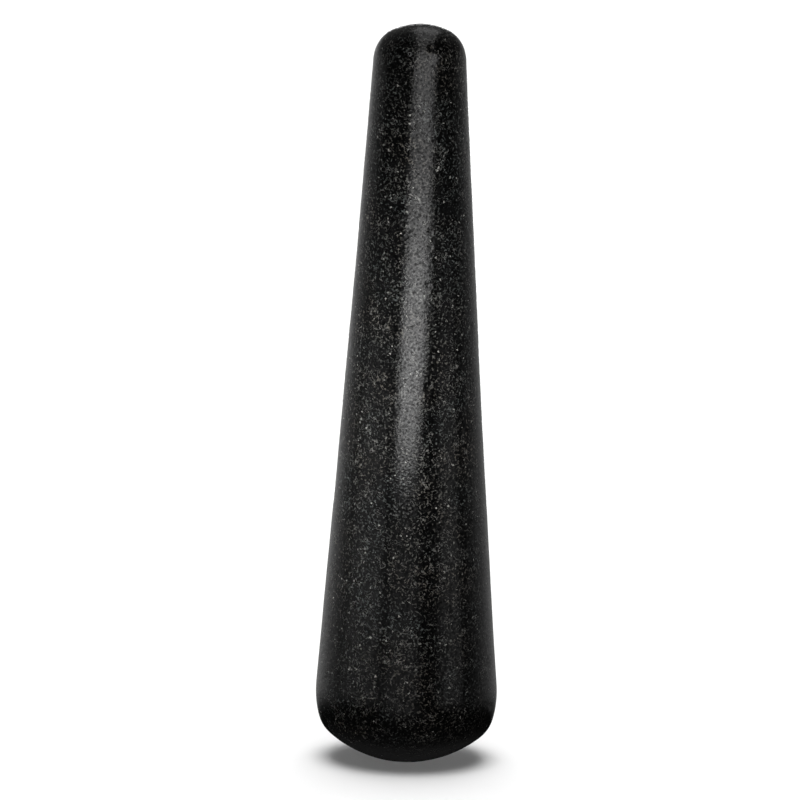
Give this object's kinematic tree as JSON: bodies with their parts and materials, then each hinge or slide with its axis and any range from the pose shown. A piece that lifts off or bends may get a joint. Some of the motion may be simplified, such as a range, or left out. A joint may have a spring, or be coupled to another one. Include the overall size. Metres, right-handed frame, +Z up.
{
  "type": "stone pestle",
  "caption": "Long tapered pestle of polished black stone, domed at both ends, with a wide rounded head for grinding and a slimmer round handle.",
  "frame": {"origin": "middle of the flat spot that the pestle stands on, at the centre of the grinding face", "axes": "+Z up the pestle's axis, from the wide grinding end to the tip of the handle; +X and +Y across it, with no preferred direction because the pestle is round"},
  "size_m": [0.044, 0.044, 0.18],
  "materials": {
    "black_stone": "satin"
  },
  "bodies": {
    "root": {"pestle": "black_stone"}
  },
  "joints": []
}
